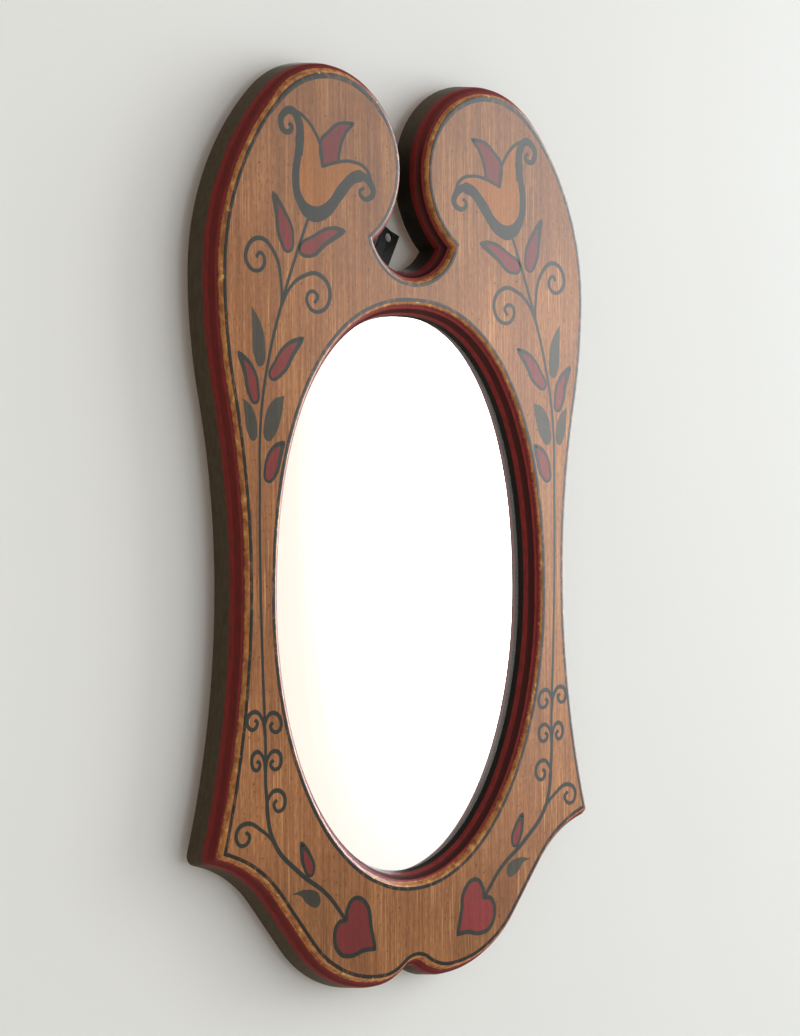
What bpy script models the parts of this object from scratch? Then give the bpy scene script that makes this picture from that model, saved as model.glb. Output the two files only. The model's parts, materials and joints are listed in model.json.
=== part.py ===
"""Wall mirror set in a painted board with a scrolled outline, modelled as its separate parts.

Metres, +Z up. The mirror faces -Y, the back of the board lies in the plane Y = 0, and the
origin is the middle of the nail hole in the hanger strap, where the mirror hangs.
"""
import math

import bmesh
import bpy
from mathutils import Matrix, Vector

# Oval opening, measured on the face of the board
OVAL_WIDTH = 0.239
OVAL_HEIGHT = 0.3916
OVAL_FULLNESS_TOP = 2.25
OVAL_FULLNESS_LOW = 2.03

# Scroll top, measured on the face of the board; the gap is the clear one left at the back
EAR_RADIUS = 0.0565
EAR_GAP = 0.0064
EAR_RISE = 0.0351
EAR_TURN = math.radians(44.4)
NOTCH_RADIUS = 0.0404
BRIDGE = 0.0116

# Sides, measured on the face of the board
SHOULDER_DROP = 0.0769
WAIST_RAIL = 0.0191
WAIST_LIFT = 0.0104
WAIST_BEND = 0.38
CORNER_RAIL = 0.041
CORNER_RISE = 0.0384
CORNER_FACE_ROUND = 0.0004
CORNER_BACK_ROUND = 0.007

# Foot with its two lobes, measured on the face of the board
FOOT_RAIL = 0.0562
LOBE_SPREAD = 0.030
LOBE_RADIUS = 0.0745
LOBE_TURN = math.radians(52.7)
APRON_RUN = 0.0425
CLEFT_RISE = 0.0104
CLEFT_BEND = 0.65

# Routed moulding that runs round the outline and round the oval
EASE_WIDTH = 0.0025
EASE_DROP = 0.0031
LEDGE_WIDTH = 0.0021
LEDGE_DROP = 0.0005
COVE_WIDTH = 0.0026
COVE_DROP = 0.0038
WALL_LEAN = 0.0012
WALL_DROP = 0.0036
SIDE_FLARE = 0.0024
LIP_LEAN = 0.0010
LIP_WALL = 0.0040
RABBET_LEDGE = 0.0072

# What lies in the rabbet behind the oval, front to back
GLASS_THICKNESS = 0.003
PACKING_THICKNESS = 0.0029
BACKING_THICKNESS = 0.0032
GLASS_PLAY = 0.0006
SEAT_GAP = 0.0003

# Flat clips that hold the backing, and their screws
CLIP_ANGLES = [math.radians(angle) for angle in (20, 60, 120, 160, 200, 240, 300, 340)]
CLIP_LENGTH = 0.024
CLIP_WIDTH = 0.010
CLIP_THICKNESS = 0.0012
CLIP_LAP = 0.009
CLIP_SCREW_SETBACK = 0.008
CLIP_SCREW_LENGTH = 0.0115

# Hanger strap and the screw it swivels on
HANG_RISE = 0.0335
STRAP_WIDTH = 0.015
STRAP_THICKNESS = 0.0015
STRAP_TOP_END = 0.005
STRAP_CREASE = 0.0012
STRAP_FLAT = 0.009
STRAP_TILT = math.radians(26)
NAIL_HOLE_RADIUS = 0.003
HANGER_SCREW_EDGE = 0.0079
HANGER_SCREW_LENGTH = 0.0135

# Pan-head screws
SHANK_RADIUS = 0.0017
HEAD_RADIUS = 0.0036
HEAD_HEIGHT = 0.0020
POINT_LENGTH = 0.0035

# Number of facets
OVAL_STEPS = 64
EASE_STEPS = 3
COVE_STEPS = 3
NOTCH_STEPS = 8
EAR_STEPS = 24
FLANK_STEPS = 9
BEND_STEPS = 6
LOBE_STEPS = 8
CORNER_STEPS = 3
ROUND_STEPS = 16
END_STEPS = 8
SMOOTH_ANGLE = math.radians(30)

# Places worked out from the sizes above
MOULDING_OUT = EASE_WIDTH + LEDGE_WIDTH + COVE_WIDTH + WALL_LEAN
MOULDING_DEPTH = EASE_DROP + LEDGE_DROP + COVE_DROP + WALL_DROP
BACK_OUT = MOULDING_OUT + SIDE_FLARE
LIP_OUT = MOULDING_OUT + LIP_LEAN
RABBET_IN = LIP_OUT - RABBET_LEDGE
RABBET_DEPTH = GLASS_THICKNESS + PACKING_THICKNESS + BACKING_THICKNESS + 3 * SEAT_GAP
LIP_DEPTH = MOULDING_DEPTH + LIP_WALL
BOARD_THICKNESS = LIP_DEPTH + RABBET_DEPTH
FACE_Y = -BOARD_THICKNESS

NOTCH_FLOOR_Z = -HANG_RISE
NOTCH = Vector((0, NOTCH_FLOOR_Z + NOTCH_RADIUS))
EAR = Vector((EAR_RADIUS + EAR_GAP / 2 + BACK_OUT, NOTCH.y + EAR_RISE))
OVAL_TOP_Z = NOTCH_FLOOR_Z - BRIDGE
OVAL_LOW_Z = OVAL_TOP_Z - OVAL_HEIGHT
OVAL_MIDDLE_Z = (OVAL_TOP_Z + OVAL_LOW_Z) / 2
FLANK_RADIUS = EAR_RADIUS + SHOULDER_DROP / math.sin(EAR_TURN)
FLANK = Vector((EAR.x + (EAR_RADIUS - FLANK_RADIUS) * math.cos(EAR_TURN), EAR.y - SHOULDER_DROP))
SHOULDER = FLANK + Vector((FLANK_RADIUS, 0))
WAIST = Vector((OVAL_WIDTH / 2 + WAIST_RAIL, OVAL_MIDDLE_Z + WAIST_LIFT))
CORNER = Vector((OVAL_WIDTH / 2 + CORNER_RAIL, OVAL_LOW_Z + CORNER_RISE))
LOBE_FOOT = Vector((LOBE_SPREAD, OVAL_LOW_Z - FOOT_RAIL))
CLEFT = Vector((0, LOBE_FOOT.y + CLEFT_RISE))

HANGER_SCREW_Z = NOTCH_FLOOR_Z + BACK_OUT - HANGER_SCREW_EDGE
STRAP_PITCH = -HANGER_SCREW_Z / math.cos(STRAP_TILT)
HANGER_SCREW_X = -STRAP_PITCH * math.sin(STRAP_TILT)
STRAP_BACK_Y = SEAT_GAP + STRAP_THICKNESS
CLIP_BACK_Y = SEAT_GAP + CLIP_THICKNESS
SCREW_HOLE_RADIUS = SHANK_RADIUS + SEAT_GAP


def circle_arc(centre, radius, start, end, steps):
    """Points of a circle from the angle start to the angle end."""
    points = []
    for step in range(steps + 1):
        angle = start + (end - start) * step / steps
        points.append(centre + radius * Vector((math.cos(angle), math.sin(angle))))
    return points


def arc_to(start, heading, end, steps):
    """Points, each with its heading, of the arc that leaves start along heading and reaches end."""
    chord = end - start
    half_turn = math.atan2(heading.x * chord.y - heading.y * chord.x, heading.dot(chord))
    points = []
    for step in range(steps + 1):
        share = step / steps
        if abs(half_turn) < 1e-6:
            reach = chord.length * share
        else:
            reach = chord.length * math.sin(half_turn * share) / math.sin(half_turn)
        towards = Matrix.Rotation(half_turn * share, 2) @ heading
        points.append((start + reach * towards, Matrix.Rotation(2 * half_turn * share, 2) @ heading))
    return points


def set_out(points, grow, side):
    """Arc points moved out by grow to one side of their headings: 1 for the left, -1 for the right."""
    return [point + side * grow * Vector((-heading.y, heading.x)) for point, heading in points]


def rounded_corner(corner, heading_in, heading_out, grow):
    """Corner of two edges moved out by grow to the left, rounded more the further out it lies."""
    radius = CORNER_FACE_ROUND + (CORNER_BACK_ROUND - CORNER_FACE_ROUND) * grow / BACK_OUT
    normal_in = Vector((-heading_in.y, heading_in.x))
    normal_out = Vector((-heading_out.y, heading_out.x))
    centre = corner + (grow - radius) * (normal_in + normal_out) / (1 + normal_in.dot(normal_out))
    start = math.atan2(normal_in.y, normal_in.x)
    end = math.atan2(normal_out.y, normal_out.x)
    return circle_arc(centre, radius, start, end, CORNER_STEPS)


def notch_cusp(grow):
    """Point where the ear's arc, grown, meets the notch's arc, shrunk."""
    ear_radius = EAR_RADIUS + grow
    notch_radius = NOTCH_RADIUS - grow
    between = EAR - NOTCH
    reach = between.length
    along = (reach ** 2 + notch_radius ** 2 - ear_radius ** 2) / (2 * reach)
    across = math.sqrt(notch_radius ** 2 - along ** 2)
    axis = between / reach
    return NOTCH + along * axis + across * Vector((axis.y, -axis.x))


def angle_of(point, centre):
    """Angle of a point seen from a centre."""
    return math.atan2(point.y - centre.y, point.x - centre.x)


def half_outline(grow):
    """Right half of the outline moved out by grow, from the notch floor round to the cleft."""
    cusp = notch_cusp(grow)
    notch_end = angle_of(cusp, NOTCH)
    points = circle_arc(NOTCH, NOTCH_RADIUS - grow, -math.pi / 2, notch_end, NOTCH_STEPS)
    ear_start = angle_of(cusp, EAR) % math.tau
    points += circle_arc(EAR, EAR_RADIUS + grow, ear_start, EAR_TURN, EAR_STEPS)[1:]
    points += circle_arc(FLANK, FLANK_RADIUS + grow, EAR_TURN, 0, FLANK_STEPS)[1:-1]

    down = Vector((0, -1))
    bend = SHOULDER.lerp(WAIST, WAIST_BEND)
    side = arc_to(SHOULDER, down, bend, BEND_STEPS)
    side += arc_to(bend, side[-1][1], WAIST, BEND_STEPS)[1:]
    side += arc_to(WAIST, down, CORNER, BEND_STEPS)[1:]
    points += set_out(side[:-1], grow, 1)

    lobe = LOBE_FOOT + Vector((0, LOBE_RADIUS))
    rise = Vector((math.cos(LOBE_TURN), math.sin(LOBE_TURN)))
    apron_foot = lobe + LOBE_RADIUS * Vector((rise.y, -rise.x)) + APRON_RUN * rise
    apron = arc_to(apron_foot, rise, CORNER, BEND_STEPS)
    points += rounded_corner(CORNER, side[-1][1], -apron[-1][1], grow)
    points += set_out(apron[-2::-1], grow, -1)
    lobe_end = LOBE_TURN - math.pi / 2
    points += circle_arc(lobe, LOBE_RADIUS + grow, lobe_end, -math.pi / 2, LOBE_STEPS)

    bend = LOBE_FOOT.lerp(CLEFT, CLEFT_BEND)
    cleft = arc_to(LOBE_FOOT, Vector((-1, 0)), bend, BEND_STEPS)
    cleft += arc_to(bend, cleft[-1][1], CLEFT, BEND_STEPS)[1:]
    points += set_out(cleft[1:], grow, 1)
    points[-1].x = 0
    return points


def outline(grow):
    """Whole outline moved out by grow: the right half and its mirror image."""
    half = half_outline(grow)
    return half + [Vector((-point.x, point.y)) for point in half[-2:0:-1]]


def oval_point(angle, shrink):
    """Point and outward normal of the oval at an angle, moved inwards by shrink."""
    cosine, sine = math.cos(angle), math.sin(angle)
    power = OVAL_FULLNESS_TOP if sine > 0 else OVAL_FULLNESS_LOW
    across = math.copysign(abs(cosine) ** (2 / power), cosine)
    along = math.copysign(abs(sine) ** (2 / power), sine)
    normal = Vector((
        math.copysign(abs(across) ** (power - 1), cosine) / OVAL_WIDTH,
        math.copysign(abs(along) ** (power - 1), sine) / OVAL_HEIGHT,
    )).normalized()
    point = Vector((across * OVAL_WIDTH / 2, OVAL_MIDDLE_Z + along * OVAL_HEIGHT / 2))
    return point - shrink * normal, normal


def oval(shrink):
    """Oval moved inwards by shrink."""
    return [oval_point(math.tau * step / OVAL_STEPS, shrink)[0] for step in range(OVAL_STEPS)]


def moulding():
    """Stations (out, depth) of the routed edge: rounded edge, ledge, cove and wall."""
    stations = []
    for step in range(EASE_STEPS + 1):
        angle = math.pi / 2 * step / EASE_STEPS
        stations.append((EASE_WIDTH * math.sin(angle), EASE_DROP * (1 - math.cos(angle))))
    ledge_out = EASE_WIDTH + LEDGE_WIDTH
    ledge_depth = EASE_DROP + LEDGE_DROP
    for step in range(COVE_STEPS + 1):
        angle = math.pi / 2 * step / COVE_STEPS
        out = ledge_out + COVE_WIDTH * (1 - math.cos(angle))
        stations.append((out, ledge_depth + COVE_DROP * math.sin(angle)))
    stations.append((MOULDING_OUT, MOULDING_DEPTH))
    return stations


def paint(name, colour, roughness, metallic=0.0):
    """Principled material of one finish."""
    material = bpy.data.materials.new(name)
    material.use_nodes = True
    shader = material.node_tree.nodes["Principled BSDF"]
    shader.inputs["Base Color"].default_value = (*colour, 1)
    shader.inputs["Roughness"].default_value = roughness
    shader.inputs["Metallic"].default_value = metallic
    return material


def add_part(name, mesh, collection, *materials):
    """New object of a mesh, in a collection, with its materials."""
    part = bpy.data.objects.new(name, mesh)
    collection.objects.link(part)
    if not mesh.materials:
        for material in materials:
            mesh.materials.append(material)
    mesh.shade_smooth()
    mesh.set_sharp_from_angle(angle=SMOOTH_ANGLE)
    return part


def mesh_of(helper):
    """Closed mesh of a helper object as it is evaluated; the helper is removed."""
    graph = bpy.context.evaluated_depsgraph_get()
    mesh = bpy.data.meshes.new_from_object(helper.evaluated_get(graph))
    mesh.name = helper.name
    edit = bmesh.new()
    edit.from_mesh(mesh)
    bmesh.ops.remove_doubles(edit, verts=edit.verts, dist=1e-6)
    edit.to_mesh(mesh)
    edit.free()
    bpy.data.objects.remove(helper)
    return mesh


def plate(name, outlines, thickness):
    """Flat plate in the XY plane, centred on its thickness: first its edge, then its holes."""
    curve = bpy.data.curves.new(name, "CURVE")
    curve.dimensions = "2D"
    curve.fill_mode = "BOTH"
    curve.extrude = thickness / 2
    for points in outlines:
        spline = curve.splines.new("POLY")
        spline.points.add(len(points) - 1)
        for corner, point in zip(spline.points, points):
            corner.co = (point.x, point.y, 0, 1)
        spline.use_cyclic_u = True
    helper = bpy.data.objects.new(name, curve)
    bpy.context.scene.collection.objects.link(helper)
    return mesh_of(helper)


def ring_hole(centre, radius):
    """Round hole in a plate."""
    return circle_arc(centre, radius, 0, math.tau, ROUND_STEPS)[:-1]


def screw(name, length):
    """Pan-head screw along Z, its head's seat at Z = 0 and its point down."""
    dome = circle_arc(Vector((0, 0)), 1, math.pi / 2, 0, END_STEPS // 2)
    profile = [Vector((HEAD_RADIUS * point.x, HEAD_HEIGHT * point.y)) for point in dome]
    profile[0].x = 0
    profile += [Vector((SHANK_RADIUS, 0)), Vector((SHANK_RADIUS, POINT_LENGTH - length)), Vector((0, -length))]
    mesh = bpy.data.meshes.new(name)
    edges = [(step, step + 1) for step in range(len(profile) - 1)]
    mesh.from_pydata([(point.x, 0, point.y) for point in profile], edges, [])
    helper = bpy.data.objects.new(name, mesh)
    bpy.context.scene.collection.objects.link(helper)
    turn = helper.modifiers.new("turn", "SCREW")
    turn.steps = ROUND_STEPS
    turn.render_steps = ROUND_STEPS
    turn.use_merge_vertices = True
    turn.merge_threshold = 1e-5
    return mesh_of(helper)


def on_back(x, y, z, turn=0.0):
    """Placement of a part drawn flat in XY: its +Z to the back, its +X turned by an angle towards +Z."""
    flat = Matrix.Rotation(-math.pi / 2, 4, "X")
    return Matrix.Translation((x, y, z)) @ Matrix.Rotation(-turn, 4, "Y") @ flat


def ring(edit, points, depth):
    """Ring of corners at a depth behind the face."""
    return [edit.verts.new((point.x, FACE_Y + depth, point.y)) for point in points]


def skin(edit, first, second, slot):
    """Band of faces between two rings."""
    for here in range(len(first)):
        ahead = (here + 1) % len(first)
        face = edit.faces.new((first[here], first[ahead], second[ahead], second[here]))
        face.material_index = slot


def fill(edit, outer, inner):
    """Flat face between two rings."""
    edges = []
    for corners in (outer, inner):
        for here in range(len(corners)):
            edges.append(edit.edges.get((corners[here], corners[here - 1])))
    bmesh.ops.triangle_fill(edit, edges=edges, use_beauty=True)


def board_mesh():
    """Board with its moulded outline, moulded oval and rabbet, lofted ring by ring."""
    edit = bmesh.new()
    stations = moulding()
    outer = [ring(edit, outline(out), depth) for out, depth in stations]
    outer.append(ring(edit, outline(BACK_OUT), BOARD_THICKNESS))
    inner = [ring(edit, oval(out), depth) for out, depth in stations]
    inner.append(ring(edit, oval(LIP_OUT), LIP_DEPTH))
    inner.append(ring(edit, oval(RABBET_IN), LIP_DEPTH))
    inner.append(ring(edit, oval(RABBET_IN), BOARD_THICKNESS))
    wood, red, dark = 0, 1, 2
    for rings in (outer, inner):
        for band in range(len(rings) - 1):
            painted = red if band < len(stations) - 1 else dark
            skin(edit, rings[band], rings[band + 1], wood if band < EASE_STEPS else painted)
    fill(edit, outer[0], inner[0])
    fill(edit, outer[-1], inner[-1])
    bmesh.ops.recalc_face_normals(edit, faces=edit.faces)
    mesh = bpy.data.meshes.new("frame_board")
    edit.to_mesh(mesh)
    edit.free()
    return mesh


def screw_places():
    """Clip screws: their place on the back, with the oval's outward direction there."""
    places = []
    for angle in CLIP_ANGLES:
        point, normal = oval_point(angle, RABBET_IN)
        places.append((point + CLIP_SCREW_SETBACK * normal, math.atan2(normal.y, normal.x)))
    return places


def pilot_hole(edit, x, z, depth):
    """Round hole from behind the board's back to a depth in it."""
    place = Matrix.Translation((x, -depth / 2 + SEAT_GAP, z)) @ Matrix.Rotation(math.pi / 2, 4, "X")
    bmesh.ops.create_cone(
        edit, cap_ends=True, segments=ROUND_STEPS, radius1=SCREW_HOLE_RADIUS, radius2=SCREW_HOLE_RADIUS,
        depth=depth + 2 * SEAT_GAP, matrix=place,
    )


def clip_mesh():
    """Flat clip with round ends, drawn along X with its screw hole at the origin."""
    half = CLIP_WIDTH / 2
    inner = CLIP_SCREW_SETBACK + CLIP_LAP - half
    outer = CLIP_LENGTH - CLIP_WIDTH - inner
    edge = circle_arc(Vector((outer, 0)), half, -math.pi / 2, math.pi / 2, END_STEPS)
    edge += circle_arc(Vector((-inner, 0)), half, math.pi / 2, 3 * math.pi / 2, END_STEPS)
    return plate("clip", [edge, ring_hole(Vector((0, 0)), SCREW_HOLE_RADIUS)], CLIP_THICKNESS)


def strap_mesh():
    """Hanger strap along X with its screw hole at the origin, creased from the screw to its square end."""
    half = STRAP_WIDTH / 2
    tip = STRAP_PITCH + STRAP_TOP_END
    edge = circle_arc(Vector((0, 0)), half, math.pi / 2, 3 * math.pi / 2, END_STEPS)
    edge += [Vector((tip, -half)), Vector((tip, half))]
    holes = [ring_hole(Vector((0, 0)), SCREW_HOLE_RADIUS), ring_hole(Vector((STRAP_PITCH, 0)), NAIL_HOLE_RADIUS)]
    mesh = plate("hanger_strap", [edge, *holes], STRAP_THICKNESS)
    edit = bmesh.new()
    edit.from_mesh(mesh)
    fold = STRAP_FLAT + half
    for point, direction in (((0, 0, 0), (0, 1, 0)), ((STRAP_FLAT, 0, 0), (1, 0, 0)), ((fold, 0, 0), (1, 0, 0))):
        geometry = [*edit.verts, *edit.edges, *edit.faces]
        bmesh.ops.bisect_plane(edit, geom=geometry, plane_co=point, plane_no=direction, dist=1e-7)
    for corner in edit.verts:
        along = min(max((corner.co.x - STRAP_FLAT) / half, 0), 1)
        corner.co.z += STRAP_CREASE * along * (1 - abs(corner.co.y) / half)
    bmesh.ops.triangulate(edit, faces=edit.faces)
    edit.to_mesh(mesh)
    edit.free()
    return mesh


def main():
    for leftover in list(bpy.data.objects):
        bpy.data.objects.remove(leftover)
    parts = bpy.data.collections.new("painted_wall_mirror")
    cutters = bpy.data.collections.new("cutters")
    bpy.context.scene.collection.children.link(parts)
    bpy.context.scene.collection.children.link(cutters)

    wood = paint("stained_wood", (0.30, 0.155, 0.085), 0.45)
    red = paint("red_paint", (0.12, 0.02, 0.018), 0.4)
    dark = paint("olive_black_paint", (0.03, 0.024, 0.014), 0.5)
    silvered = paint("silvered_glass", (0.9, 0.9, 0.9), 0.03, 1.0)
    card = paint("grey_card", (0.35, 0.32, 0.28), 0.9)
    hardboard = paint("hardboard", (0.16, 0.09, 0.045), 0.8)
    zinc = paint("zinc_plate", (0.6, 0.6, 0.58), 0.4, 1.0)
    black_steel = paint("blackened_steel", (0.02, 0.02, 0.02), 0.5, 0.8)

    board = add_part("frame_board", board_mesh(), parts, wood, red, dark)
    holes = bmesh.new()
    for place, turn in screw_places():
        pilot_hole(holes, place.x, place.y, CLIP_SCREW_LENGTH - CLIP_BACK_Y)
    pilot_hole(holes, HANGER_SCREW_X, HANGER_SCREW_Z, HANGER_SCREW_LENGTH - STRAP_BACK_Y)
    holes_mesh = bpy.data.meshes.new("pilot_holes")
    holes.to_mesh(holes_mesh)
    holes.free()
    cutter = add_part("pilot_holes", holes_mesh, cutters)
    cutter.hide_render = True
    cutter.display_type = "WIRE"
    drill = board.modifiers.new("pilot holes", "BOOLEAN")
    drill.object = cutter
    drill.operation = "DIFFERENCE"

    front = FACE_Y + LIP_DEPTH
    for name, thickness, finish in (
        ("mirror_glass", GLASS_THICKNESS, silvered),
        ("packing_card", PACKING_THICKNESS, card),
        ("backing_board", BACKING_THICKNESS, hardboard),
    ):
        front += SEAT_GAP
        pane = add_part(name, plate(name, [oval(RABBET_IN + GLASS_PLAY)], thickness), parts, finish)
        pane.location.y = front + thickness / 2
        pane.rotation_euler.x = math.pi / 2
        front += thickness

    clip = clip_mesh()
    clip_screw = screw("clip_screw", CLIP_SCREW_LENGTH)
    for number, (place, turn) in enumerate(screw_places(), start=1):
        holder = add_part(f"clip_{number}", clip, parts, zinc)
        holder.matrix_world = on_back(place.x, SEAT_GAP + CLIP_THICKNESS / 2, place.y, turn)
        fastener = add_part(f"clip_screw_{number}", clip_screw, parts, zinc)
        fastener.matrix_world = on_back(place.x, CLIP_BACK_Y + SEAT_GAP, place.y)

    strap = add_part("hanger_strap", strap_mesh(), parts, black_steel)
    upright = math.pi / 2 - STRAP_TILT
    strap.matrix_world = on_back(HANGER_SCREW_X, SEAT_GAP + STRAP_THICKNESS / 2, HANGER_SCREW_Z, upright)
    pivot = add_part("hanger_screw", screw("hanger_screw", HANGER_SCREW_LENGTH), parts, zinc)
    pivot.matrix_world = on_back(HANGER_SCREW_X, STRAP_BACK_Y + SEAT_GAP, HANGER_SCREW_Z)


main()
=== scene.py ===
# %% [markdown]
# # A painted wall mirror
#
# The frame loaded here holds the plain solids of the mirror at their real size: a thick board with a
# scrolled outline, an oval glass in it, and the fittings on its back. This lesson dresses them. Each
# step says what a piece is on the real object and how it is made. Everything is in metres, with the
# face of the board towards -Y and the back of the board in the plane Y = 0.

# %% Load the frame
import json
import math

import bmesh
import bpy
from mathutils import Matrix, Vector


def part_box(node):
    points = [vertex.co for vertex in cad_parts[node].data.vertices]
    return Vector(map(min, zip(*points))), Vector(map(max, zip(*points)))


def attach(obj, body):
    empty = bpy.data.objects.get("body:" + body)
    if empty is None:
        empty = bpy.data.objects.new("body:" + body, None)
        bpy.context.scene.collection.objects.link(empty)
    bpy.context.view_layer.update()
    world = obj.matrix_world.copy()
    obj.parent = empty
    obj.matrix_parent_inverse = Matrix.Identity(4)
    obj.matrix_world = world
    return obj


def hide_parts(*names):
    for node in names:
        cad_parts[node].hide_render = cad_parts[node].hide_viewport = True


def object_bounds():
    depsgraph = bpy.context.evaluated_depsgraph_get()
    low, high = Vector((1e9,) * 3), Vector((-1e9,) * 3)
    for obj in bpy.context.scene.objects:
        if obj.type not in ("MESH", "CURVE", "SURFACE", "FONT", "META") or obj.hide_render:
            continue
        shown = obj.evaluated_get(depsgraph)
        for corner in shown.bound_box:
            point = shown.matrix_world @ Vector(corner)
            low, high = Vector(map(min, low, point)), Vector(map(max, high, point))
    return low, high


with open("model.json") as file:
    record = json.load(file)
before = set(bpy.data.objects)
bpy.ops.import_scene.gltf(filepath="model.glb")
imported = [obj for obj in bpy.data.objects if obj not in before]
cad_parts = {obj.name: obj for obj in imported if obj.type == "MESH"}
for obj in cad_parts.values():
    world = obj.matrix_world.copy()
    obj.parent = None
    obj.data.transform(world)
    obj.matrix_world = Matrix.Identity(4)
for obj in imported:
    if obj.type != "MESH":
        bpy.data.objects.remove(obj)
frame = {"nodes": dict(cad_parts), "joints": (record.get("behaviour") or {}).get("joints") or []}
cad_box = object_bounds()
bpy.ops.object.select_all(action="DESELECT")
print("CAD box:", [tuple(corner) for corner in cad_box])

# %% [markdown]
# ## The camera
#
# The picture was taken from the left of the mirror, at the height of its upper half, with a long lens.
# The place and the angles come from the perspective of the outline, whose two halves are mirror
# images. The camera comes first, so that every later step can be compared with the picture.

# %% Camera
IMAGE_HEIGHT = 1036
FOCAL_PIXELS = 2300
SENSOR_SIZE = 36
CAMERA_PLACE = (-1.0195, -1.1767, -0.1705)
CAMERA_YAW = math.radians(41.131)
CAMERA_PITCH = math.radians(-0.711)
CAMERA_ROLL = math.radians(-0.23)

bpy.ops.object.camera_add()
camera = bpy.context.object
camera.name = "picture_camera"
camera.data.sensor_width = SENSOR_SIZE
camera.data.lens = FOCAL_PIXELS / IMAGE_HEIGHT * SENSOR_SIZE
heading = Matrix.Rotation(-CAMERA_YAW, 4, "Z") @ Matrix.Rotation(math.pi / 2 + CAMERA_PITCH, 4, "X")
camera.matrix_world = Matrix.Translation(CAMERA_PLACE) @ heading @ Matrix.Rotation(CAMERA_ROLL, 4, "Z")
bpy.context.scene.camera = camera
print(f"lens {camera.data.lens:.1f} mm")

# %% [markdown]
# ## The outline of the board
#
# The board was sawn along a line of round stretches: the notch and its two scrolls, the long flanks,
# the waist, the pointed lower corners and the two lobes of the foot. It is drawn here as arcs that run
# smoothly into each other. A moulding needs the same outline again and again, a little larger each
# time, so every function takes the distance `grow` that the outline is moved outwards.

# %% Sizes of the outline
OVAL_WIDTH = 0.239
OVAL_HEIGHT = 0.3916
OVAL_FULLNESS_TOP = 2.25
OVAL_FULLNESS_LOW = 2.03
EAR_RADIUS = 0.0565
EAR = Vector((0.0705, 0.042))
EAR_TURN = math.radians(44.4)
NOTCH_RADIUS = 0.0404
NOTCH = Vector((0, 0.0069))
FLANK_DROP = 0.0769
BRIDGE = 0.0116
WAIST_RAIL = 0.0191
WAIST_LIFT = 0.0104
WAIST_BEND = 0.38
CORNER_RAIL = 0.041
CORNER_RISE = 0.0384
CORNER_FACE_ROUND = 0.0004
CORNER_BACK_ROUND = 0.007
FOOT_RAIL = 0.0562
LOBE_SPREAD = 0.030
LOBE_RADIUS = 0.0745
LOBE_TURN = math.radians(52.7)
APRON_RUN = 0.0425
CLEFT_RISE = 0.0104
CLEFT_BEND = 0.65
BACK_OUT = 0.0108

oval_top = NOTCH.y - NOTCH_RADIUS - BRIDGE
oval_low = oval_top - OVAL_HEIGHT
oval_middle = (oval_top + oval_low) / 2
flank_radius = EAR_RADIUS + FLANK_DROP / math.sin(EAR_TURN)
flank = Vector((EAR.x + (EAR_RADIUS - flank_radius) * math.cos(EAR_TURN), EAR.y - FLANK_DROP))
shoulder = flank + Vector((flank_radius, 0))
waist = Vector((OVAL_WIDTH / 2 + WAIST_RAIL, oval_middle + WAIST_LIFT))
corner = Vector((OVAL_WIDTH / 2 + CORNER_RAIL, oval_low + CORNER_RISE))
lobe_foot = Vector((LOBE_SPREAD, oval_low - FOOT_RAIL))
cleft = Vector((0, lobe_foot.y + CLEFT_RISE))
print(f"oval from {oval_low:.4f} to {oval_top:.4f}, foot at {lobe_foot.y:.4f}")

# %% Arcs
ARC_STEP = 0.0014


def circle_arc(centre, radius, start, end, steps):
    """Points of a circle from the angle start to the angle end."""
    angles = [start + (end - start) * step / steps for step in range(steps + 1)]
    return [centre + radius * Vector((math.cos(angle), math.sin(angle))) for angle in angles]


def arc_to(start, heading, end):
    """Points, each with its heading, of the arc that leaves start along heading and reaches end."""
    chord = end - start
    half_turn = math.atan2(heading.x * chord.y - heading.y * chord.x, heading.dot(chord))
    steps = round(chord.length / ARC_STEP)
    points = []
    for step in range(steps + 1):
        share = step / steps
        reach = chord.length * math.sin(half_turn * share) / math.sin(half_turn)
        towards = Matrix.Rotation(half_turn * share, 2) @ heading
        points.append((start + reach * towards, Matrix.Rotation(2 * half_turn * share, 2) @ heading))
    return points


def set_out(points, grow, side):
    """Arc points moved out by grow to one side of their headings: 1 for the left, -1 for the right."""
    return [point + side * grow * Vector((-heading.y, heading.x)) for point, heading in points]


print("arcs are drawn in steps of about", ARC_STEP)

# %% The outline, moved outwards
NOTCH_STEPS = 50
EAR_STEPS = 150
FLANK_STEPS = 70
LOBE_STEPS = 50
CORNER_STEPS = 6


def notch_cusp(grow):
    """Point where the ear's arc, grown, meets the notch's arc, shrunk."""
    reach = (EAR - NOTCH).length
    axis = (EAR - NOTCH) / reach
    along = (reach ** 2 + (NOTCH_RADIUS - grow) ** 2 - (EAR_RADIUS + grow) ** 2) / (2 * reach)
    across = math.sqrt((NOTCH_RADIUS - grow) ** 2 - along ** 2)
    return NOTCH + along * axis + across * Vector((axis.y, -axis.x))


def rounded_corner(heading_in, heading_out, grow):
    """Lower corner between two edges moved out by grow, rounded more the further out it lies."""
    radius = CORNER_FACE_ROUND + (CORNER_BACK_ROUND - CORNER_FACE_ROUND) * max(grow, 0) / BACK_OUT
    normal_in = Vector((-heading_in.y, heading_in.x))
    normal_out = Vector((-heading_out.y, heading_out.x))
    centre = corner + (grow - radius) * (normal_in + normal_out) / (1 + normal_in.dot(normal_out))
    start = math.atan2(normal_in.y, normal_in.x)
    end = math.atan2(normal_out.y, normal_out.x)
    return circle_arc(centre, radius, start, end, CORNER_STEPS)


def short_of(points, end, heading):
    """Points, of which those that lie past an end along a heading are drawn back to it."""
    return [end if (point - end).dot(heading) > 0 else point for point in points]


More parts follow.
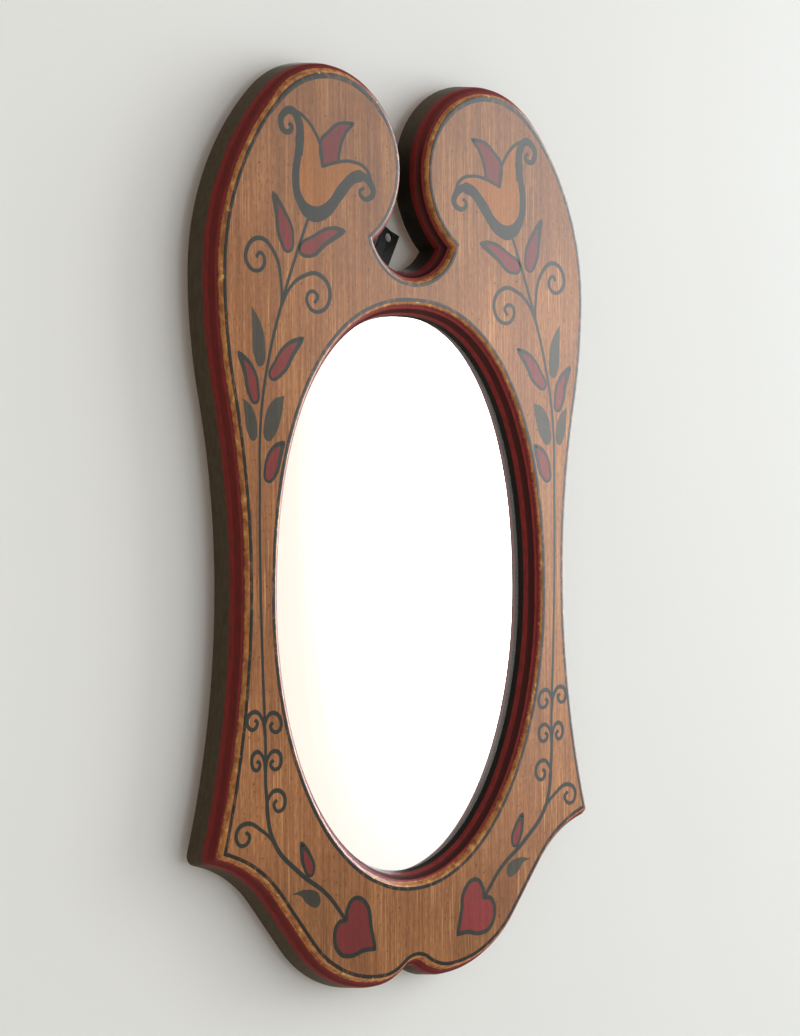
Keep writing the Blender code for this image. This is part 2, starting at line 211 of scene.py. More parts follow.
def outline(grow):
    """Outline moved out by grow: the right half from the notch to the cleft, and its mirror image."""
    cusp = notch_cusp(grow)
    notch_end = math.atan2(cusp.y - NOTCH.y, cusp.x - NOTCH.x)
    half = circle_arc(NOTCH, NOTCH_RADIUS - grow, -math.pi / 2, notch_end, NOTCH_STEPS)
    ear_start = math.atan2(cusp.y - EAR.y, cusp.x - EAR.x) % math.tau
    half += circle_arc(EAR, EAR_RADIUS + grow, ear_start, EAR_TURN, EAR_STEPS)[1:]
    half += circle_arc(flank, flank_radius + grow, EAR_TURN, 0, FLANK_STEPS)[1:-1]

    down = Vector((0, -1))
    bend = shoulder.lerp(waist, WAIST_BEND)
    side = arc_to(shoulder, down, bend)
    side += arc_to(bend, side[-1][1], waist)[1:]
    side += arc_to(waist, down, corner)[1:]

    lobe = lobe_foot + Vector((0, LOBE_RADIUS))
    rise = Vector((math.cos(LOBE_TURN), math.sin(LOBE_TURN)))
    apron = arc_to(lobe + LOBE_RADIUS * Vector((rise.y, -rise.x)) + APRON_RUN * rise, rise, corner)
    turn = rounded_corner(side[-1][1], -apron[-1][1], grow)
    half += short_of(set_out(side[:-1], grow, 1), turn[0], side[-1][1])
    half += turn
    half += short_of(set_out(apron[-2::-1], grow, -1), turn[-1], apron[-1][1])
    half += circle_arc(lobe, LOBE_RADIUS + grow, LOBE_TURN - math.pi / 2, -math.pi / 2, LOBE_STEPS)

    bend = lobe_foot.lerp(cleft, CLEFT_BEND)
    end = arc_to(lobe_foot, Vector((-1, 0)), bend)
    end += arc_to(bend, end[-1][1], cleft)[1:]
    half += set_out(end[1:], grow, 1)
    half[-1].x = 0
    return half + [Vector((-point.x, point.y)) for point in half[-2:0:-1]]


print(f"the outline has {len(outline(0))} points")

# %% The oval, moved inwards
OVAL_STEPS = 480


def oval(shrink):
    """Oval of the opening moved inwards by shrink; its upper half is fuller than its lower half."""
    points = []
    for step in range(OVAL_STEPS):
        angle = math.tau * step / OVAL_STEPS
        cosine, sine = math.cos(angle), math.sin(angle)
        power = OVAL_FULLNESS_TOP if sine > 0 else OVAL_FULLNESS_LOW
        across = math.copysign(abs(cosine) ** (2 / power), cosine)
        along = math.copysign(abs(sine) ** (2 / power), sine)
        lean = math.copysign(abs(across) ** (power - 1), cosine) / OVAL_WIDTH
        lift = math.copysign(abs(along) ** (power - 1), sine) / OVAL_HEIGHT
        point = Vector((across * OVAL_WIDTH / 2, oval_middle + along * OVAL_HEIGHT / 2))
        points.append(point - shrink * Vector((lean, lift)).normalized())
    return points


print(f"the oval has {len(oval(0))} points")

# %% [markdown]
# ## The moulded board
#
# A router ran round the outline and round the oval with the same cutter: a rounded edge, a narrow
# ledge, a cove, and a wall that falls to the side. A Bevel modifier can't follow such a profile round
# the sharp points of the notch and the corners, so the board is built from rings. The first ring is a
# circle primitive, laid on the outline. Each extrusion of that ring is laid on the outline again, moved
# out and back as the profile says. Two such skins, one for the outline and one for the oval, are joined
# and filled in front and behind. Each ring also carries a number, its band, which counts the painted
# stripes from the face outwards, and a second number tells the oval's rings from the outline's. The
# paint reads both numbers later.

# %% Profile of the moulding
EASE_WIDTH = 0.0025
EASE_DROP = 0.0031
LEDGE_OUT = 0.0046
LEDGE_DEPTH = 0.0036
COVE_WIDTH = 0.0026
COVE_DROP = 0.0038
WALL_OUT = 0.0084
WALL_DEPTH = 0.0110
LIP_OUT = 0.0094
LIP_DEPTH = 0.015
RABBET_IN = 0.0022
NOSE_ROUND = 0.0004
EASE_STEPS = 12
COVE_STEPS = 10
NOSE_STEPS = 4

STRIPE_START, STRIPE_END, OCHRE_END, LEDGE_END, COVE_END, WALL_END, SIDE_END = range(7)
FACE_BAND = -1
HALF_BAND = 0.5


def nose(before, tip, after):
    """Small round that takes the place of a sharp tip of the profile, with its band running across it."""
    start = tip.lerp(before, min(NOSE_ROUND / (tip.xy - before.xy).length, 1))
    end = tip.lerp(after, min(NOSE_ROUND / (tip.xy - after.xy).length, 1))
    shares = [step / NOSE_STEPS for step in range(NOSE_STEPS + 1)]
    return [start.lerp(tip, share).lerp(tip.lerp(end, share), share) for share in shares]


def edge_band(share, stripe_share, ochre_share):
    """Band at a share of the rounded edge: the rest of the stripe, then ochre, and maybe some red."""
    if share < stripe_share:
        return STRIPE_END - HALF_BAND * (1 - share / stripe_share)
    if share <= ochre_share:
        return STRIPE_END + (share - stripe_share) / (ochre_share - stripe_share)
    return OCHRE_END + HALF_BAND * (share - ochre_share)


def moulding(stripe_share, ochre_share):
    """Profile (out, depth, band) from the face's edge to the foot of the wall."""
    profile = []
    for step in range(EASE_STEPS + 1):
        share = step / EASE_STEPS
        angle = math.pi / 2 * share
        band = edge_band(share, stripe_share, ochre_share)
        profile.append(Vector((EASE_WIDTH * math.sin(angle), EASE_DROP * (1 - math.cos(angle)), band)))
    cove = []
    for step in range(COVE_STEPS + 1):
        angle = math.pi / 2 * step / COVE_STEPS
        out = LEDGE_OUT + COVE_WIDTH * (1 - math.cos(angle))
        depth = LEDGE_DEPTH + COVE_DROP * math.sin(angle)
        cove.append(Vector((out, depth, LEDGE_END + step / COVE_STEPS)))
    foot = Vector((WALL_OUT, WALL_DEPTH, WALL_END))
    profile += nose(profile[-1], cove[0], cove[1])
    profile += cove[2:-2]
    profile += nose(cove[-2], cove[-1], foot)
    return profile + [foot]


outer_profile = moulding(stripe_share=0.14, ochre_share=1.0)
inner_profile = moulding(stripe_share=0.03, ochre_share=0.5)
print(f"the moulding has {len(outer_profile)} rings")

# %% Rings laid one after another
TOUCHING = 1e-6
SMOOTH_ANGLE = math.radians(40)

face_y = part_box("frame_board")[0].y
thickness = -face_y


def pick(*pieces):
    """Selects some pieces and no others, and makes the first of them the active one."""
    bpy.ops.object.select_all(action="DESELECT")
    for piece in pieces:
        piece.select_set(True)
    bpy.context.view_layer.objects.active = pieces[0]


def ring_of(path, station):
    """Ring of places in space: a path moved by a station's first number, at the station's depth."""
    return [Vector((point.x, face_y + station[1], point.y)) for point in path(station[0])]


def loft(name, path, stations):
    """Skin over one ring after another, each with its band; every station is (out, depth, band)."""
    rings = [ring_of(path, station) for station in stations]
    bpy.ops.mesh.primitive_circle_add(vertices=len(rings[0]), fill_type="NOTHING")
    piece = bpy.context.object
    piece.name = name
    piece.data.attributes.new("step", "INT", "POINT")
    piece.data.attributes.new("band", "FLOAT", "POINT")
    piece.data.attributes["step"].data.foreach_set("value", range(len(rings[0])))
    bpy.ops.object.mode_set(mode="EDIT")
    bpy.ops.mesh.select_all(action="SELECT")
    for number, (ring, station) in enumerate(zip(rings, stations)):
        if number:
            bpy.ops.mesh.extrude_edges_move()
        mesh = bmesh.from_edit_mesh(piece.data)
        step, band = mesh.verts.layers.int["step"], mesh.verts.layers.float["band"]
        for place in mesh.verts:
            if place.select:
                place.co = ring[place[step]]
                place[band] = station[2]
        bmesh.update_edit_mesh(piece.data)
    bpy.ops.mesh.select_all(action="SELECT")
    bpy.ops.mesh.remove_doubles(threshold=TOUCHING)
    bpy.ops.object.mode_set(mode="OBJECT")
    return piece


def select_rim(piece, depth):
    """Selects the open edges that lie at a depth behind the face; edit mode stays on."""
    pick(piece)
    bpy.ops.object.mode_set(mode="EDIT")
    bpy.ops.mesh.select_mode(type="EDGE")
    bpy.ops.mesh.select_all(action="DESELECT")
    mesh = bmesh.from_edit_mesh(piece.data)
    for edge in mesh.edges:
        level = all(abs(end.co.y - face_y - depth) < TOUCHING for end in edge.verts)
        edge.select_set(edge.is_boundary and level)
    bmesh.update_edit_mesh(piece.data)


def tidy_shell():
    """Merges doubles of the active piece, turns its faces outwards and shades it smooth up to an angle."""
    bpy.ops.object.mode_set(mode="EDIT")
    bpy.ops.mesh.select_all(action="SELECT")
    bpy.ops.mesh.remove_doubles(threshold=TOUCHING)
    bpy.ops.mesh.normals_make_consistent(inside=False)
    bpy.ops.object.mode_set(mode="OBJECT")
    bpy.ops.object.shade_smooth_by_angle(angle=SMOOTH_ANGLE)


print(f"face at y = {face_y:.4f}, board {thickness:.4f} thick")

# %% Board
FLAT_MARGIN = 0.0055
OUTER_STRIPE_IN = 0.0019
OVAL_STRIPE_IN = 0.0023
BACK_ARRIS = 0.0004
BACK_ARRIS_DEPTH = 0.0006
LAST_SIDE_BAND = SIDE_END - 0.05
HIDDEN_BAND = SIDE_END + 1

outer_stations = [(-FLAT_MARGIN, 0, FACE_BAND), (-OUTER_STRIPE_IN, 0, STRIPE_START), *outer_profile]
outer_stations += [(BACK_OUT - BACK_ARRIS, thickness - BACK_ARRIS_DEPTH, LAST_SIDE_BAND)]
outer_stations += [(BACK_OUT - 2 * BACK_ARRIS, thickness, HIDDEN_BAND)]
inner_stations = [(-FLAT_MARGIN, 0, FACE_BAND), (-OVAL_STRIPE_IN, 0, STRIPE_START), *inner_profile]
inner_stations += [(LIP_OUT, LIP_DEPTH, LAST_SIDE_BAND), (RABBET_IN, LIP_DEPTH, HIDDEN_BAND)]
inner_stations += [(RABBET_IN, thickness, HIDDEN_BAND)]

board = loft("moulded_board", outline, outer_stations)
opening = loft("oval_moulding", oval, inner_stations)
round_oval = opening.data.attributes.new("oval", "FLOAT", "POINT")
round_oval.data.foreach_set("value", [1.0] * len(opening.data.vertices))
pick(board, opening)
bpy.ops.object.join()
for depth in (0, thickness):
    select_rim(board, depth)
    bpy.ops.mesh.fill(use_beauty=True)
    bpy.ops.object.mode_set(mode="OBJECT")
tidy_shell()
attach(board, "mirror")
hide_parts("frame_board")
print(f"the board has {len(board.data.polygons)} faces")

# %% [markdown]
# ## The glass and the hardboard behind it
#
# Both are ovals that drop into the rabbet from the back. The glass has a ground edge, so it gets a
# narrow slope round its rim; the hardboard was sawn, so its edge is only a little worn. They are made
# with the same rings as the board, and each end ring is closed with a face.

# %% Oval panes
RABBET_PLAY = 0.0006
GLASS_ARRIS = 0.0007
SAWN_ARRIS = 0.0003


def pane(name, node, arris):
    """Oval plate in a node's place, with a sloped edge of the width arris in front and behind."""
    low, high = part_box(node)
    front, back = low.y - face_y, high.y - face_y
    rim = RABBET_IN + RABBET_PLAY
    stations = [(rim + arris, front, 0), (rim, front + arris, 0)]
    stations += [(rim, back - arris, 0), (rim + arris, back, 0)]
    piece = loft(name, oval, stations)
    for depth in (front, back):
        select_rim(piece, depth)
        bpy.ops.mesh.edge_face_add()
        bpy.ops.object.mode_set(mode="OBJECT")
    tidy_shell()
    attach(piece, "mirror")
    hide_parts(node)
    return piece


glass = pane("oval_mirror", "mirror_glass", GLASS_ARRIS)
hardboard = pane("hardboard_back", "backing_board", SAWN_ARRIS)
print("panes:", glass.name, hardboard.name)

# %% [markdown]
# ## The painted ornament
#
# Tulips, leaves, curling tendrils and hearts were painted on the bare face with a pointed brush, one
# side as the mirror image of the other. Only the right side is drawn here, in millimetres from the
# middle line of the board and from a level line across it. A brush stroke is a Bezier curve drawn with
# a thin flat nib, whose width changes along the stroke, so that it lies on the wood as a film of paint.
# A filled shape is a flat curve with a very small extrusion. A Mirror modifier makes the left side.

# %% Strokes and fills
LEVEL_LINE = -0.1705
MILLIMETRES = 1000
NIB_HALF_WIDTH = 0.0005
NIB_RISE = 0.000013
FILL_RISE = 0.00001
HAIR = 0.0000004
CURVE_STEPS = 8

nib_curve = bpy.data.curves.new("nib", "CURVE")
nib_curve.dimensions = "2D"
nib_edge = nib_curve.splines.new("POLY")
nib_edge.points.add(3)
for point, side, lift in zip(nib_edge.points, (-1, 1, 1, -1), (-1, -1, 1, 1)):
    point.co = (side * NIB_HALF_WIDTH, lift * NIB_RISE, 0, 1)
nib_edge.use_cyclic_u = True
nib = bpy.data.objects.new("nib", nib_curve)
bpy.context.scene.collection.objects.link(nib)
drawn = []


def draw(points, closed, corners):
    """Curve through points in millimetres, smooth but for the numbered corners, flat in the XY plane."""
    curve = bpy.data.curves.new("drawing", "CURVE")
    curve.resolution_u = CURVE_STEPS
    spline = curve.splines.new("BEZIER")
    spline.bezier_points.add(len(points) - 1)
    spline.use_cyclic_u = closed
    for number, (knot, (x, z)) in enumerate(zip(spline.bezier_points, points)):
        knot.co = (x / MILLIMETRES, LEVEL_LINE + z / MILLIMETRES, 0)
        knot.handle_left_type = knot.handle_right_type = "VECTOR" if number in corners else "AUTO"
    drawing = bpy.data.objects.new("drawing", curve)
    bpy.context.scene.collection.objects.link(drawing)
    pick(drawing)
    return drawing


def lay_on_face(drawing):
    """Makes the drawing a mesh and lays it on the face of the board, a hair above the one before."""
    bpy.ops.object.convert(target="MESH")
    drawing = bpy.context.object
    drawing.rotation_euler.x = math.pi / 2
    drawing.location.y = face_y - HAIR * len(drawn)
    drawn.append(drawing.name)
    bpy.ops.object.transform_apply()
    tidy_shell()
    return drawing


def stroke(points, widths, closed=False, corners=()):
    """Brush stroke through points; its width in millimetres runs through the list widths."""
    drawing = draw(points, closed, corners)
    drawing.data.dimensions = "3D"
    drawing.data.bevel_mode = "OBJECT"
    drawing.data.bevel_object = nib
    drawing.data.use_fill_caps = True
    knots = drawing.data.splines[0].bezier_points
    for number, knot in enumerate(knots):
        place = number / (len(knots) - 1) * (len(widths) - 1)
        before = min(int(place), len(widths) - 2) if len(widths) > 1 else 0
        after = min(before + 1, len(widths) - 1)
        knot.radius = widths[before] + (widths[after] - widths[before]) * (place - before)
    return lay_on_face(drawing)


def fill(points, rise, corners=(0,)):
    """Flat patch of paint inside a closed curve."""
    drawing = draw(points, True, corners)
    drawing.data.dimensions = "2D"
    drawing.data.fill_mode = "BOTH"
    drawing.data.extrude = rise
    return lay_on_face(drawing)


def gather(name, drawings):
    """Joins drawings of one paint, mirrors them to the left side and lets them ride on the board."""
    pick(*drawings)
    bpy.ops.object.join()
    paint = drawings[0]
    paint.name = name
    mirror = paint.modifiers.new("other side", "MIRROR")
    mirror.use_mirror_merge = False
    bpy.ops.object.modifier_apply(modifier=mirror.name)
    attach(paint, "mirror")
    print(f"{name}: {len(paint.data.polygons)} faces")
    return paint


print(f"a nib {2 * NIB_HALF_WIDTH} wide for strokes of 1 mm")

# %% Tulip
LINE = 2.3
OUTER_CURL_WIDTHS = [6.5, 6, 4.8, 3.8, 2.8]
INNER_CURL_WIDTHS = [6.5, 5.2, 4, 2.8, 2.4]
RIM_WIDTHS = [2.6, LINE, LINE]
PETAL_CORNERS = (0, 4, 5)
GLOW_CORNERS = (11,)

tulip_cup = [
    (99.5, 228), (101, 218), (104, 200), (101, 185), (90, 173), (77, 174.5), (62, 189), (52, 199.5),
    (45, 202.5), (45, 208), (52, 208), (64, 199), (77, 185), (87, 182.5), (95.5, 188), (98, 200),
    (95.5, 218), (95, 228),
]
tulip_glow = [
    (95, 234), (95, 222), (98, 200), (93, 184), (86, 182.5), (77, 185), (64, 199), (52, 208), (42, 208),
    (54, 213.8), (66, 212.5), (79, 208.5), (80, 220), (85, 230), (96, 239.5),
]
tulip_petal = [
    (52.5, 239), (66, 237), (74, 231), (80, 225), (79, 208.5), (65.5, 212.5), (65, 218), (60, 231),
]
outer_curl = [
    (98.5, 214), (97.3, 226), (98.5, 236), (104, 242), (110, 240), (113, 234), (109, 228), (104, 231),
    (106.5, 234),
]
inner_curl = [
    (53, 203.5), (45, 205), (38.5, 201), (36, 195), (39.5, 191), (45, 191), (47.3, 195), (44, 197.5),
]
inner_rim = [(36.5, 200), (42, 210), (54, 213.8), (66, 212.5), (79, 208.5)]
outer_rim = [(103, 242.5), (95, 239.5), (85, 230), (80, 220), (79, 208.5)]
dark_lines = [
    stroke(outer_curl, OUTER_CURL_WIDTHS),
    stroke(inner_curl, INNER_CURL_WIDTHS),
    stroke(inner_rim, RIM_WIDTHS),
    stroke(outer_rim, RIM_WIDTHS),
    stroke(tulip_petal, [LINE], closed=True, corners=PETAL_CORNERS),
    fill(tulip_cup, 2 * FILL_RISE, corners=()),
]
red_fills = [fill(tulip_petal, FILL_RISE, corners=PETAL_CORNERS)]
amber_fills = [fill(tulip_glow, FILL_RISE / 2, corners=GLOW_CORNERS)]
print(f"tulip: {len(dark_lines)} dark strokes")

# %% Stem and tendrils
STEM_WIDTHS = [LINE, LINE, 1.9, 2.2, 3.4, 2.7]
TENDRIL_WIDTHS = [1.8, 3.0, 2.6, 2.5]

stem = [
    (91, 174), (103, 145), (113, 118), (123, 85), (130, 45), (131, 0), (131, -50), (129.5, -110),
    (127.5, -160), (126.8, -195), (121, -224), (100, -246), (78, -262), (62.5, -280),
]
tendrils = [
    [
        (113, 117), (113, 130), (119, 151), (131, 159), (141, 150), (139, 141), (131, 138.5),
        (126.4, 144.5), (130, 149.8), (133, 146.6),
    ],
    [
        (113, 117), (106, 129), (96, 136.5), (82, 138.5), (73, 127), (81, 115), (91.5, 119), (90, 127),
        (83.5, 125), (86, 120),
    ],
    [(128, -156), (127, -146), (122, -141.5), (115, -147), (118, -153.8), (123.5, -150), (121.5, -147.5)],
    [(128, -156), (130, -145), (136, -140), (142, -145), (138, -151.2), (134, -147), (136, -145)],
    [(127.5, -182), (124.5, -168), (119, -166), (115, -171), (118.5, -177.5), (123.5, -174), (121, -171.5)],
    [(127.5, -182), (131, -167), (135, -165.5), (138.5, -170), (135, -177), (132, -173.5), (134.5, -171)],
    [(126.5, -209), (126, -197), (119, -191), (112, -197), (116.5, -204.5), (121, -200), (118.5, -197)],
    [(120, -225), (130, -216), (144, -210), (151, -216), (147, -223.5), (140.5, -219), (143.5, -215)],
]
dark_lines.append(stroke(stem, STEM_WIDTHS))
dark_lines += [stroke(tendril, TENDRIL_WIDTHS) for tendril in tendrils]
print(f"{len(tendrils)} tendrils on one side")

# %% Leaves and heart
LEAF_WIDTHS = [3.6, 2.2, 1.8, 2.2, 3.0]
HEART_WIDTHS = [3.0]
HEART_CORNERS = (0, 5)

red_leaves = [
    [(119, 188), (110, 177), (103.5, 163), (107, 152), (114, 160), (117, 177)],
    [(61, 168), (70, 169.5), (85, 164), (98, 153), (90, 150), (76, 159)],
    [(96, 97), (108, 93), (118, 82), (122, 71), (112, 74.5), (104, 86)],
    [(147, 86), (137, 78), (132, 64), (134, 55), (139, 60), (142.5, 74)],
    [(112, 30), (120, 27), (126.5, 15), (125, 5.5), (118.5, 9.5), (114.5, 21)],
    [(98.5, -227), (91.8, -235), (88.6, -244.5), (91.2, -248.6), (96.6, -242.5), (98.4, -234.5)],
]
green_leaves = [
    [(137, 116), (129.5, 105), (126.5, 92), (130, 78), (135, 84), (136.5, 101)],
    [(111, 60), (120, 57), (127, 44), (125, 31), (118, 36), (113.5, 47)],
    [(144, 58), (136.5, 51.5), (133, 40), (135.5, 31), (140.5, 36), (142.8, 47)],
    [(107, -259), (95, -257), (84, -262), (85, -269), (94, -266.5), (100, -260.5)],
]
heart = [
    (37, -303), (40.5, -288), (44, -273), (54, -267.5), (60.5, -274), (61.5, -281), (68, -282),
    (71.5, -291), (67, -302), (58, -304.8), (46, -302.6),
]

for leaf in red_leaves:
    dark_lines.append(stroke(leaf, LEAF_WIDTHS, closed=True, corners=(0,)))
    red_fills.append(fill(leaf, FILL_RISE))
dark_lines.append(stroke(heart, HEART_WIDTHS, closed=True, corners=HEART_CORNERS))
red_fills.append(fill(heart, FILL_RISE, corners=HEART_CORNERS))
green_fills = [fill(leaf, FILL_RISE) for leaf in green_leaves]

dark_paint_piece = gather("dark_brush_lines", dark_lines)
red_paint_piece = gather("red_petals_and_hearts", red_fills)
green_paint_piece = gather("green_leaves", green_fills)
amber_paint_piece = gather("amber_tulips", amber_fills)
pick(nib)
bpy.ops.object.delete()

# %% [markdown]
# ## Clips and screws
#
# Eight flat steel clips press the hardboard into its rabbet, each under one slotted pan-head screw. A
# clip is stamped from strip, so it starts as a plane whose four corners are bevelled until both ends
# are round; it is extruded, drilled and its edges are worn. A screw is turned, so it starts as a
# cylinder: the rim of its head is bevelled into a dome, the shank is inset and extruded from the head,
# and the slot is sawn. Each is made once and copied to the places that the frame gives.

# %% Tools for the metal pieces
HOLE_SIDES = 32
HOLE_DEPTH = 0.02
WORN_STEPS = 2


def strip(length, width, middle):
    """Flat strip of sheet along X, with its middle at a distance along X."""
    bpy.ops.mesh.primitive_plane_add(size=1, location=(middle, 0, 0))
    piece = bpy.context.object
    piece.scale = (length, width, 1)
    bpy.ops.object.transform_apply()
    return piece


def select_where(piece, kind, wanted):
    """Selects the points (VERT) or faces (FACE) whose middle passes a test; edit mode stays on."""
    bpy.ops.object.mode_set(mode="EDIT")
    bpy.ops.mesh.select_mode(type=kind)
    bpy.ops.mesh.select_all(action="DESELECT")
    mesh = bmesh.from_edit_mesh(piece.data)
    for part in mesh.verts if kind == "VERT" else mesh.faces:
        part.select_set(wanted(part.co if kind == "VERT" else part.calc_center_median()))
    bmesh.update_edit_mesh(piece.data)


def cut(piece, cutter):
    """Takes the cutter's shape out of a piece and throws the cutter away."""
    boolean = piece.modifiers.new("cut", "BOOLEAN")
    boolean.object = cutter
    bpy.context.view_layer.objects.active = piece
    bpy.ops.object.modifier_apply(modifier=boolean.name)
    pick(cutter)
    bpy.ops.object.delete()
    pick(piece)


def drill(piece, radius, place):
    """Round hole through a piece along Z."""
    bpy.ops.mesh.primitive_cylinder_add(
        vertices=HOLE_SIDES, radius=radius, depth=HOLE_DEPTH, location=(*place, 0)
    )
    cut(piece, bpy.context.object)


def soften(piece, width):
    """Wears the sharp edges of a piece and shades it."""
    bevel = piece.modifiers.new("worn edges", "BEVEL")
    bevel.width = width
    bevel.segments = WORN_STEPS
    bevel.angle_limit = SMOOTH_ANGLE
    pick(piece)
    bpy.ops.object.modifier_apply(modifier=bevel.name)
    tidy_shell()


def on_back(piece, place, turn):
    """Turns a piece made on the XY plane so that its +Z points to the wall, and puts it in place."""
    upright = Matrix.Rotation(-turn, 4, "Y") @ Matrix.Rotation(-math.pi / 2, 4, "X")
    piece.matrix_world = Matrix.Translation(place) @ upright
    pick(piece)
    bpy.ops.object.transform_apply()


def copy_of(piece, name):
    """Copy of a piece with a mesh of its own."""
    pick(piece)
    bpy.ops.object.duplicate(linked=False)
    bpy.context.object.name = name
    return bpy.context.object


print("tools: strip, select_where, cut, drill, soften, on_back, copy_of")

# %% One clip
CLIP_LENGTH = 0.024
CLIP_WIDTH = 0.010
CLIP_REACH = 0.005
SCREW_HOLE_RADIUS = 0.002
METAL_WEAR = 0.00018
ROUND_END = 0.499
CLIP_ROUND_STEPS = 8

clip_low, clip_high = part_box("clip_1")
clip = strip(CLIP_LENGTH, CLIP_WIDTH, -CLIP_REACH)
bpy.ops.object.mode_set(mode="EDIT")
bpy.ops.mesh.select_all(action="SELECT")
bpy.ops.mesh.bevel(offset=ROUND_END * CLIP_WIDTH, segments=CLIP_ROUND_STEPS, affect="VERTICES")
bpy.ops.mesh.select_all(action="SELECT")
bpy.ops.mesh.extrude_region_move(TRANSFORM_OT_translate={"value": (0, 0, clip_high.y - clip_low.y)})
bpy.ops.object.mode_set(mode="OBJECT")
drill(clip, SCREW_HOLE_RADIUS, (0, 0))
soften(clip, METAL_WEAR)
print(f"one clip, {len(clip.data.polygons)} faces")

# %% One screw of each length
HEAD_RADIUS = 0.0036
HEAD_HEIGHT = 0.0020
HEAD_ROUND = 0.0012
HEAD_ROUND_STEPS = 6
SHANK_RADIUS = 0.0017
POINT_LENGTH = 0.0035
SLOT_WIDTH = 0.0009
SLOT_DEPTH = 0.0009
NEAR = 0.1


def turned_screw(node):
    """Slotted screw as long as a node, its head standing on the XY plane and its shank below."""
    low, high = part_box(node)
    length = high.y - low.y - HEAD_HEIGHT
    bpy.ops.mesh.primitive_cylinder_add(
        vertices=HOLE_SIDES, radius=HEAD_RADIUS, depth=HEAD_HEIGHT, location=(0, 0, HEAD_HEIGHT / 2)
    )
    piece = bpy.context.object
    bpy.ops.object.transform_apply()
    select_where(piece, "FACE", lambda middle: middle.z < NEAR * HEAD_HEIGHT)
    bpy.ops.mesh.inset(thickness=HEAD_RADIUS - SHANK_RADIUS)
    bpy.ops.mesh.extrude_region_move(TRANSFORM_OT_translate={"value": (0, 0, POINT_LENGTH - length)})
    bpy.ops.mesh.extrude_region_move(TRANSFORM_OT_translate={"value": (0, 0, -POINT_LENGTH)})
    bpy.ops.mesh.merge(type="CENTER")
    select_where(piece, "FACE", lambda middle: middle.z > (1 - NEAR) * HEAD_HEIGHT)
    bpy.ops.mesh.bevel(offset=HEAD_ROUND, segments=HEAD_ROUND_STEPS, affect="EDGES")
    bpy.ops.object.mode_set(mode="OBJECT")
    bpy.ops.mesh.primitive_cube_add(size=1, location=(0, 0, HEAD_HEIGHT))
    saw = bpy.context.object
    saw.scale = (3 * HEAD_RADIUS, SLOT_WIDTH, 2 * SLOT_DEPTH)
    cut(piece, saw)
    tidy_shell()
    return piece


clip_screw = turned_screw("clip_screw_1")
hanger_screw = turned_screw("hanger_screw")
print(f"two screws, {len(clip_screw.data.polygons)} faces each")

# %% Clips and screws in place
CLIP_COUNT = 8
SLOT_TURN = 2.1

fittings = []
for number in range(1, CLIP_COUNT + 1):
    low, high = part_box(f"clip_{number}")
    screw_low, screw_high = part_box(f"clip_screw_{number}")
    hole = (screw_low + screw_high) / 2
    outward = hole - (low + high) / 2
    holder = copy_of(clip, f"steel_clip_{number}")
    on_back(holder, (hole.x, low.y, hole.z), math.atan2(outward.z, outward.x))
    fastener = copy_of(clip_screw, f"clip_fastener_{number}")
    on_back(fastener, (hole.x, screw_high.y - HEAD_HEIGHT, hole.z), SLOT_TURN * number)
    fittings += [(holder, f"clip_{number}", "clip"), (fastener, f"clip_screw_{number}", "screw")]
screw_low, screw_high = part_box("hanger_screw")
hole = (screw_low + screw_high) / 2
on_back(hanger_screw, (hole.x, screw_high.y - HEAD_HEIGHT, hole.z), SLOT_TURN)
hanger_screw.name = "hanger_pivot"
fittings.append((hanger_screw, "hanger_screw", "screw"))
pick(clip, clip_screw)
bpy.ops.object.delete()
for piece, node, slot in fittings:
    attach(piece, "mirror")
    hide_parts(node)
print(f"{len(fittings)} clips and screws in place")

# %% [markdown]
# ## The hanger strap
#
# A black steel strap swivels on one screw below the notch, and its upper end, with the nail hole, shows
# in the notch. It is stamped with a shallow roof along its middle that stiffens it. A plane is rounded
# at the screw's end and cut by Bisect where the roof starts, its middle line is raised, and a Solidify
# modifier gives it the thickness of the sheet. It rides on the hanger body, which turns.

# %% Strap
STRAP_WIDTH = 0.015
STRAP_THICKNESS = 0.0015
STRAP_TOP_END = 0.005
STRAP_CREASE = 0.0012
STRAP_FLAT = 0.009
NAIL_HOLE_RADIUS = 0.003
STRAP_ROUND_STEPS = 12

pivot = Vector(frame["joints"][0]["pos_m"])
pitch = pivot.xz.length
half_width = STRAP_WIDTH / 2
strap_length = half_width + pitch + STRAP_TOP_END
roof = STRAP_FLAT + half_width
strap = strip(strap_length, STRAP_WIDTH, strap_length / 2 - half_width)
strap.name = "steel_hanger_strap"
select_where(strap, "VERT", lambda place: place.x < 0)
bpy.ops.mesh.bevel(offset=ROUND_END * STRAP_WIDTH, segments=STRAP_ROUND_STEPS, affect="VERTICES")
cuts = [((0, 0, 0), (0, 1, 0)), ((STRAP_FLAT, 0, 0), (1, 0, 0)), ((roof, 0, 0), (1, 0, 0))]
for point, direction in cuts:
    bpy.ops.mesh.select_all(action="SELECT")
    bpy.ops.mesh.bisect(plane_co=point, plane_no=direction)
near = NEAR * half_width
select_where(strap, "VERT", lambda place: place.x > roof - near and abs(place.y) < near)
bpy.ops.transform.translate(value=(0, 0, STRAP_CREASE))
bpy.ops.object.mode_set(mode="OBJECT")
solidify = strap.modifiers.new("sheet", "SOLIDIFY")
solidify.thickness = STRAP_THICKNESS
solidify.offset = 1
bpy.ops.object.modifier_apply(modifier=solidify.name)
drill(strap, SCREW_HOLE_RADIUS, (0, 0))
drill(strap, NAIL_HOLE_RADIUS, (pitch, 0))
soften(strap, METAL_WEAR)
strap_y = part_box("hanger_strap")[0].y
on_back(strap, (pivot.x, strap_y, pivot.z), math.atan2(-pivot.z, -pivot.x))
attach(strap, "hanger")
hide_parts("hanger_strap")
print(f"the strap has {len(strap.data.polygons)} faces")

